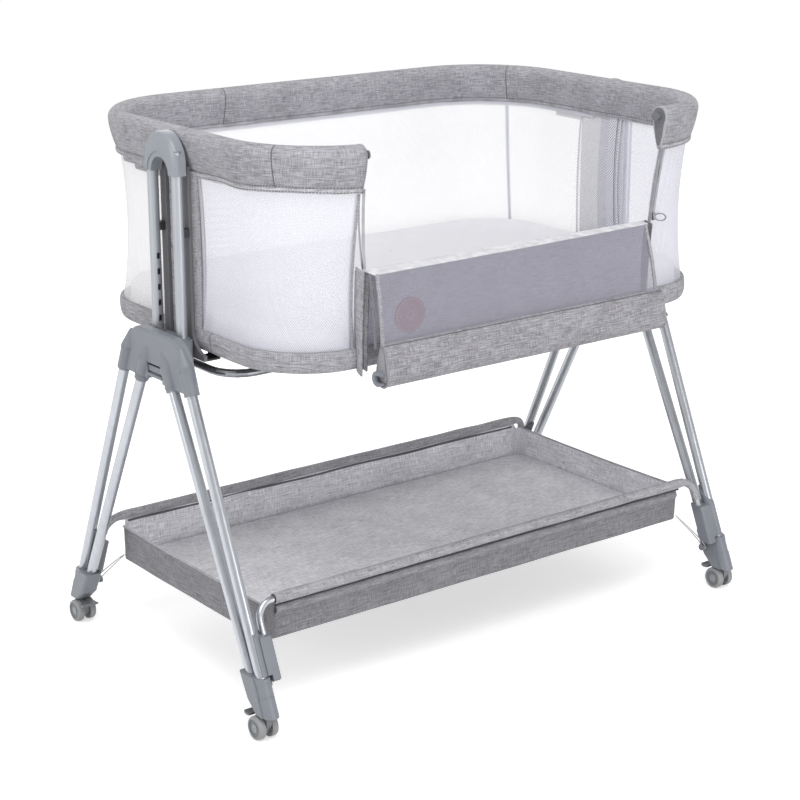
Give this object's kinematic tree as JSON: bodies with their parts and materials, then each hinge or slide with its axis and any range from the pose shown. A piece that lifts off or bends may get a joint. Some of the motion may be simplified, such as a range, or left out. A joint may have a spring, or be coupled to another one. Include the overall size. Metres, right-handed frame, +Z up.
{
  "type": "bedside sleeper crib",
  "caption": "Bedside crib with a fold-down front, mesh walls and mattress, on an A-frame stand with swivel casters, a height slide and a fabric storage tray.",
  "frame": {"origin": "on the floor under the middle of the whole object's box, 14 mm in front of the stand's middle", "axes": "+X along the crib's length, -Y towards the open bedside front, +Z up"},
  "size_m": [0.946, 0.6186, 0.8252],
  "materials": {
    "leg_aluminium": "satin, silver painted",
    "bright_tube": "satin anodised",
    "grey_plastic": "fine satin",
    "caster_plastic": "satin",
    "tread": "matt",
    "black_plastic": "satin",
    "dark_steel": "semi gloss",
    "board": "raw board",
    "elastic": "woven elastic",
    "white_mesh": "open mesh",
    "grey_mesh": "fine mesh",
    "white_quilt": "soft cotton",
    "linen": "heathered weave"
  },
  "bodies": {
    "stand": {"basket_board": "board", "basket_brackets": "grey_plastic", "basket_ties": "elastic", "basket_tray": "linen", "basket_tube_back": "bright_tube", "basket_tube_front": "bright_tube", "feet": "grey_plastic", "hubs": "grey_plastic", "leg_tubes": "leg_aluminium", "upright_guides": "grey_plastic"},
    "crib": {"base_board": "board", "base_ring": "dark_steel", "base_saddles": "black_plastic", "bottom_band": "linen", "end_posts": "black_plastic", "end_strips": "linen", "front_wall": "linen", "mattress": "white_quilt", "mesh_back": "white_mesh", "mesh_left_front": "white_mesh", "mesh_right_front": "white_mesh", "rim_cover": "linen", "rim_ends": "grey_plastic", "rim_tube": "bright_tube", "spacer_clips": "black_plastic", "upright_caps": "grey_plastic", "uprights": "bright_tube", "zip_tapes": "linen"},
    "drop_side": {"drop_panel": "grey_mesh", "drop_rail_cover": "linen", "drop_rail_plugs": "grey_plastic", "drop_rail_tube": "bright_tube"},
    "caster_left_front": {"caster_yoke_left_front": "caster_plastic"},
    "wheels_left_front": {"caster_wheels_left_front": "tread"},
    "brake_left_front": {"caster_brake_left_front": "caster_plastic"},
    "caster_left_back": {"caster_yoke_left_back": "caster_plastic"},
    "wheels_left_back": {"caster_wheels_left_back": "tread"},
    "brake_left_back": {"caster_brake_left_back": "caster_plastic"},
    "caster_right_front": {"caster_yoke_right_front": "caster_plastic"},
    "wheels_right_front": {"caster_wheels_right_front": "tread"},
    "brake_right_front": {"caster_brake_right_front": "caster_plastic"},
    "caster_right_back": {"caster_yoke_right_back": "caster_plastic"},
    "wheels_right_back": {"caster_wheels_right_back": "tread"},
    "brake_right_back": {"caster_brake_right_back": "caster_plastic"},
    "lever_left": {"release_lever_left": "grey_plastic"},
    "lever_right": {"release_lever_right": "grey_plastic"}
  },
  "joints": [
    {"name": "crib_height", "type": "slide", "parent": "stand", "child": "crib", "axis": [0, 0, 1], "range_m": [-0.115, 0]},
    {"name": "drop_side_fold", "type": "hinge", "parent": "crib", "child": "drop_side", "pos_m": [0, -0.281, 0.659], "axis": [-1, 0, 0], "range_deg": [0, 180]},
    {"name": "swivel_left_front", "type": "hinge", "parent": "stand", "child": "caster_left_front", "pos_m": [-0.457, -0.257, 0], "axis": [0, 0, 1], "continuous": true},
    {"name": "roll_left_front", "type": "hinge", "parent": "caster_left_front", "child": "wheels_left_front", "pos_m": [-0.457, -0.248, 0.0175], "axis": [1, 0, 0], "continuous": true},
    {"name": "brake_pedal_left_front", "type": "hinge", "parent": "caster_left_front", "child": "brake_left_front", "pos_m": [-0.457, -0.239, 0.0315], "axis": [-1, 0, 0], "range_deg": [0, 12]},
    {"name": "swivel_left_back", "type": "hinge", "parent": "stand", "child": "caster_left_back", "pos_m": [-0.457, 0.285, 0], "axis": [0, 0, 1], "continuous": true},
    {"name": "roll_left_back", "type": "hinge", "parent": "caster_left_back", "child": "wheels_left_back", "pos_m": [-0.457, 0.276, 0.0175], "axis": [1, 0, 0], "continuous": true},
    {"name": "brake_pedal_left_back", "type": "hinge", "parent": "caster_left_back", "child": "brake_left_back", "pos_m": [-0.457, 0.267, 0.0315], "axis": [1, 0, 0], "range_deg": [0, 12]},
    {"name": "swivel_right_front", "type": "hinge", "parent": "stand", "child": "caster_right_front", "pos_m": [0.457, -0.257, 0], "axis": [0, 0, 1], "continuous": true},
    {"name": "roll_right_front", "type": "hinge", "parent": "caster_right_front", "child": "wheels_right_front", "pos_m": [0.457, -0.248, 0.0175], "axis": [1, 0, 0], "continuous": true},
    {"name": "brake_pedal_right_front", "type": "hinge", "parent": "caster_right_front", "child": "brake_right_front", "pos_m": [0.457, -0.239, 0.0315], "axis": [-1, 0, 0], "range_deg": [0, 12]},
    {"name": "swivel_right_back", "type": "hinge", "parent": "stand", "child": "caster_right_back", "pos_m": [0.457, 0.285, 0], "axis": [0, 0, 1], "continuous": true},
    {"name": "roll_right_back", "type": "hinge", "parent": "caster_right_back", "child": "wheels_right_back", "pos_m": [0.457, 0.276, 0.0175], "axis": [1, 0, 0], "continuous": true},
    {"name": "brake_pedal_right_back", "type": "hinge", "parent": "caster_right_back", "child": "brake_right_back", "pos_m": [0.457, 0.267, 0.0315], "axis": [1, 0, 0], "range_deg": [0, 12]},
    {"name": "release_left", "type": "slide", "parent": "stand", "child": "lever_left", "axis": [0, 0, 1], "range_m": [0, 0.0035], "stiffness_N_per_m": 800, "springref_m": -0.002},
    {"name": "release_right", "type": "slide", "parent": "stand", "child": "lever_right", "axis": [0, 0, 1], "range_m": [0, 0.0035], "stiffness_N_per_m": 800, "springref_m": -0.002}
  ]
}
